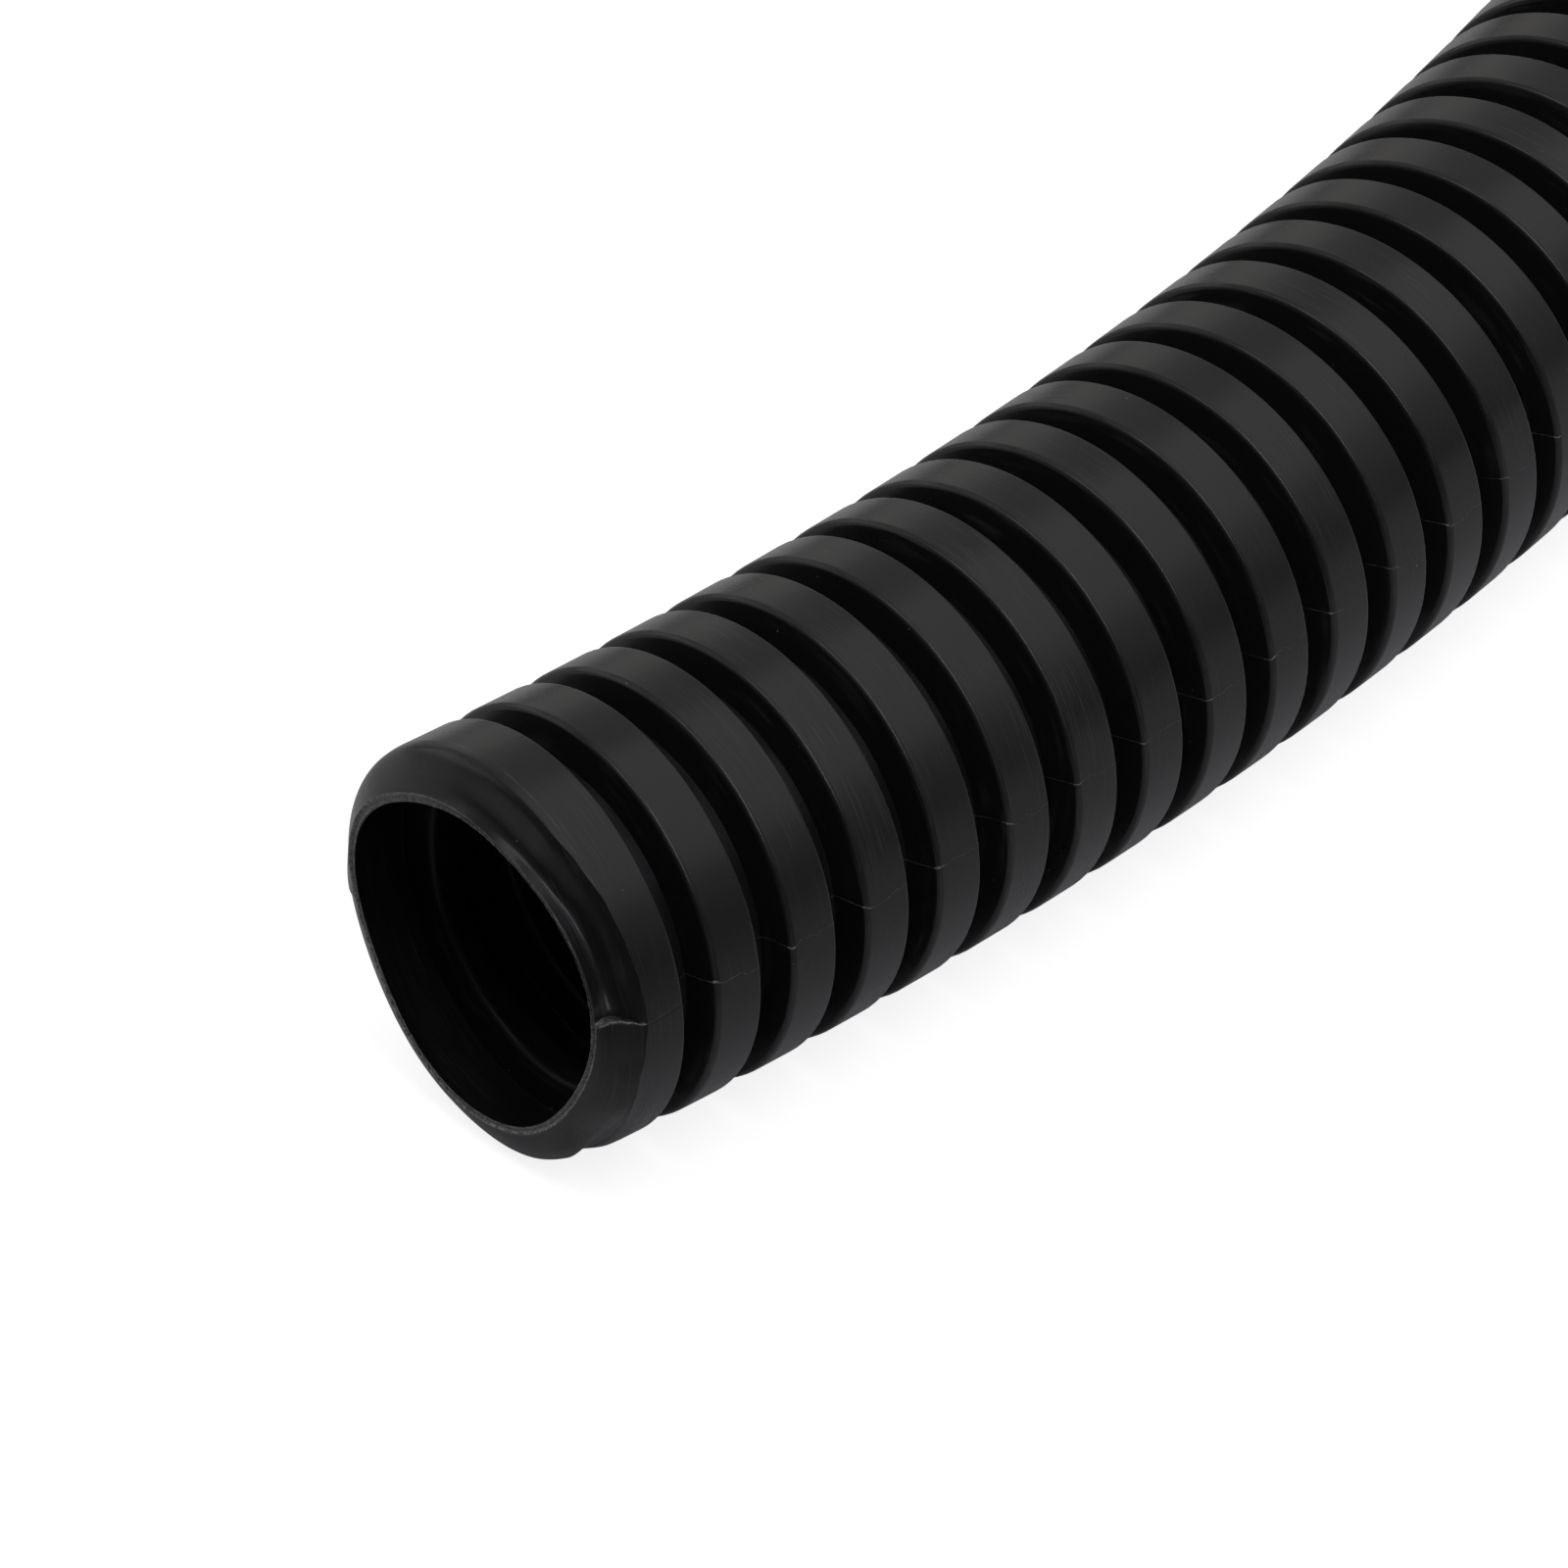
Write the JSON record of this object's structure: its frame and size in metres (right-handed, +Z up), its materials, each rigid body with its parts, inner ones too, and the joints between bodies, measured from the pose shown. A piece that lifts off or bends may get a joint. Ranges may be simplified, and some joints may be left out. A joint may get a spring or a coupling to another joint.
{
  "type": "corrugated conduit",
  "caption": "Black corrugated plastic cable conduit, one metre of flexible tube cut from a coil and keeping its round set, open at both cut ends",
  "frame": {"origin": "middle of the footprint, on the floor that the tube lies on", "axes": "+Z is up, across the level plane of the bend; the first cut end looks along -Y and the tube leads away from it along +Y and curves to the left; X is along the longest extent"},
  "size_m": [0.4912, 0.4633, 0.0212],
  "materials": {
    "black_plastic": "satin black extruded and moulded thermoplastic with fine lines around the crests"
  },
  "bodies": {
    "root": {"corrugated_conduit": "black_plastic"}
  },
  "joints": []
}
